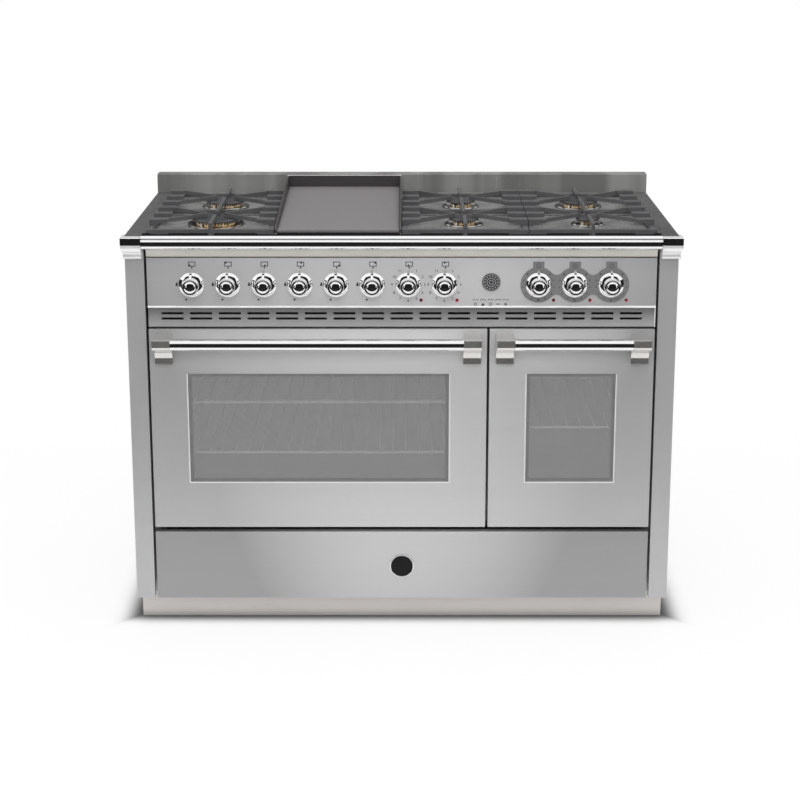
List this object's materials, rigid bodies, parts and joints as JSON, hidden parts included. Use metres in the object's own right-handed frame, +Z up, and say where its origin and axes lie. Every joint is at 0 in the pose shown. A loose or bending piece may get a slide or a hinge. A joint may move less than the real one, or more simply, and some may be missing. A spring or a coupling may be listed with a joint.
{
  "type": "range cooker",
  "caption": "Free-standing range cooker with a gas hob and griddle, a wide and a narrow oven with drop-down doors, a row of control knobs and a storage drawer.",
  "frame": {"origin": "on the floor, under the middle of the whole cooker's bounding box", "axes": "+X to the right as seen from the front, -Y out of the doors towards the user, +Z up"},
  "size_m": [1.212, 0.641, 0.95],
  "materials": {
    "steel": "satin stainless steel, brushed along its length",
    "dark_steel": "satin stainless steel in shade",
    "frame_steel": "galvanised sheet",
    "chrome": "bright plated",
    "handle_steel": "polished",
    "glass": "tinted oven glass",
    "enamel": "dark vitreous enamel",
    "rack_wire": "plated wire",
    "rubber": "silicone seal",
    "zinc": "zinc plated",
    "alloy": "as cast",
    "switch_plastic": "moulded",
    "bowl_metal": "dark enamelled casting",
    "brass": "machined",
    "cap_enamel": "matt enamel",
    "ceramic": "white glazed",
    "cast_iron": "matt black enamel",
    "griddle_iron": "bare, seasoned",
    "black_plate": "gloss black",
    "black_gloss": "polished, bare",
    "timer_black": "round display",
    "lamp_red": "translucent red",
    "knob_metal": "polished"
  },
  "bodies": {
    "cooker_body": {"chassis": "frame_steel", "side_panel_right": "steel", "side_panel_left": "steel", "back_panel": "frame_steel", "terminal_cover": "frame_steel", "plinth": "steel", "levelling_feet": "zinc", "hob_pan": "dark_steel", "cornice_moulding": "chrome", "cornice_corners": "chrome", "cove_strip": "chrome", "backguard": "dark_steel", "control_panel": "steel", "vent_strip": "dark_steel", "oven_dial_plate": "black_plate", "timer_dial": "timer_black", "indicator_lamps": "lamp_red", "main_oven_liner": "enamel", "side_oven_liner": "enamel", "oven_gaskets": "rubber", "main_oven_shelf_upper": "rack_wire", "main_oven_shelf_lower": "rack_wire", "side_oven_shelf": "rack_wire", "drawer_rails": "zinc", "gas_manifold": "alloy", "control_switches": "switch_plastic", "burner_bowls": "bowl_metal", "burner_crowns": "brass", "burner_caps": "cap_enamel", "spark_electrodes": "ceramic", "griddle_plate": "griddle_iron"},
    "main_door": {"main_door_panel": "steel", "main_door_glass": "glass", "main_door_liner": "enamel", "main_door_hinges": "zinc", "main_handle_bar": "handle_steel", "main_handle_brackets": "chrome"},
    "side_door": {"side_door_panel": "steel", "side_door_glass": "glass", "side_door_liner": "enamel", "side_door_hinges": "zinc", "side_handle_bar": "handle_steel", "side_handle_brackets": "chrome"},
    "drawer": {"drawer_front": "steel", "drawer_box": "frame_steel", "drawer_badge": "black_gloss"},
    "grate_left": {"grate_left": "cast_iron"},
    "grate_centre": {"grate_centre": "cast_iron"},
    "grate_right": {"grate_right": "cast_iron"},
    "gas_knob_1": {"gas_knob_1": "knob_metal"},
    "gas_knob_2": {"gas_knob_2": "knob_metal"},
    "gas_knob_3": {"gas_knob_3": "knob_metal"},
    "gas_knob_4": {"gas_knob_4": "knob_metal"},
    "gas_knob_5": {"gas_knob_5": "knob_metal"},
    "gas_knob_6": {"gas_knob_6": "knob_metal"},
    "griddle_knob_1": {"griddle_knob_1": "knob_metal"},
    "griddle_knob_2": {"griddle_knob_2": "knob_metal"},
    "oven_knob_1": {"oven_knob_1": "knob_metal"},
    "oven_knob_2": {"oven_knob_2": "knob_metal"},
    "oven_knob_3": {"oven_knob_3": "knob_metal"}
  },
  "joints": [
    {"name": "main_door_hinge", "type": "hinge", "parent": "cooker_body", "child": "main_door", "pos_m": [-0.1833, -0.2425, 0.246], "axis": [1, 0, 0], "range_deg": [0, 90], "stiffness_Nm_per_rad": 12, "springref_deg": -17.19},
    {"name": "side_door_hinge", "type": "hinge", "parent": "cooker_body", "child": "side_door", "pos_m": [0.373, -0.2425, 0.246], "axis": [1, 0, 0], "range_deg": [0, 90], "stiffness_Nm_per_rad": 5.5, "springref_deg": -17.19},
    {"name": "drawer_slide", "type": "slide", "parent": "cooker_body", "child": "drawer", "axis": [0, -1, 0], "range_m": [0, 0.34]},
    {"name": "grate_left_lift", "type": "slide", "parent": "cooker_body", "child": "grate_left", "axis": [0, 0, 1], "range_m": [0, 0.08]},
    {"name": "grate_centre_lift", "type": "slide", "parent": "cooker_body", "child": "grate_centre", "axis": [0, 0, 1], "range_m": [0, 0.08]},
    {"name": "grate_right_lift", "type": "slide", "parent": "cooker_body", "child": "grate_right", "axis": [0, 0, 1], "range_m": [0, 0.08]},
    {"name": "gas_knob_1_turn", "type": "hinge", "parent": "cooker_body", "child": "gas_knob_1", "pos_m": [-0.457, -0.2725, 0.7925], "axis": [0, -1, 0], "range_deg": [0, 210]},
    {"name": "gas_knob_2_turn", "type": "hinge", "parent": "cooker_body", "child": "gas_knob_2", "pos_m": [-0.3784, -0.2725, 0.7925], "axis": [0, -1, 0], "range_deg": [0, 210]},
    {"name": "gas_knob_3_turn", "type": "hinge", "parent": "cooker_body", "child": "gas_knob_3", "pos_m": [-0.2998, -0.2725, 0.7925], "axis": [0, -1, 0], "range_deg": [0, 210]},
    {"name": "gas_knob_4_turn", "type": "hinge", "parent": "cooker_body", "child": "gas_knob_4", "pos_m": [-0.2212, -0.2725, 0.7925], "axis": [0, -1, 0], "range_deg": [0, 210]},
    {"name": "gas_knob_5_turn", "type": "hinge", "parent": "cooker_body", "child": "gas_knob_5", "pos_m": [-0.1426, -0.2725, 0.7925], "axis": [0, -1, 0], "range_deg": [0, 210]},
    {"name": "gas_knob_6_turn", "type": "hinge", "parent": "cooker_body", "child": "gas_knob_6", "pos_m": [-0.064, -0.2725, 0.7925], "axis": [0, -1, 0], "range_deg": [0, 210]},
    {"name": "griddle_knob_1_turn", "type": "hinge", "parent": "cooker_body", "child": "griddle_knob_1", "pos_m": [0.0142, -0.2725, 0.7925], "axis": [0, 1, 0], "range_deg": [0, 310]},
    {"name": "griddle_knob_2_turn", "type": "hinge", "parent": "cooker_body", "child": "griddle_knob_2", "pos_m": [0.0928, -0.2725, 0.7925], "axis": [0, 1, 0], "range_deg": [0, 310]},
    {"name": "oven_knob_1_turn", "type": "hinge", "parent": "cooker_body", "child": "oven_knob_1", "pos_m": [0.297, -0.2725, 0.7925], "axis": [0, 1, 0], "range_deg": [0, 330]},
    {"name": "oven_knob_2_turn", "type": "hinge", "parent": "cooker_body", "child": "oven_knob_2", "pos_m": [0.376, -0.2725, 0.7925], "axis": [0, 1, 0], "range_deg": [0, 330]},
    {"name": "oven_knob_3_turn", "type": "hinge", "parent": "cooker_body", "child": "oven_knob_3", "pos_m": [0.455, -0.2725, 0.7925], "axis": [0, 1, 0], "range_deg": [0, 330]}
  ]
}
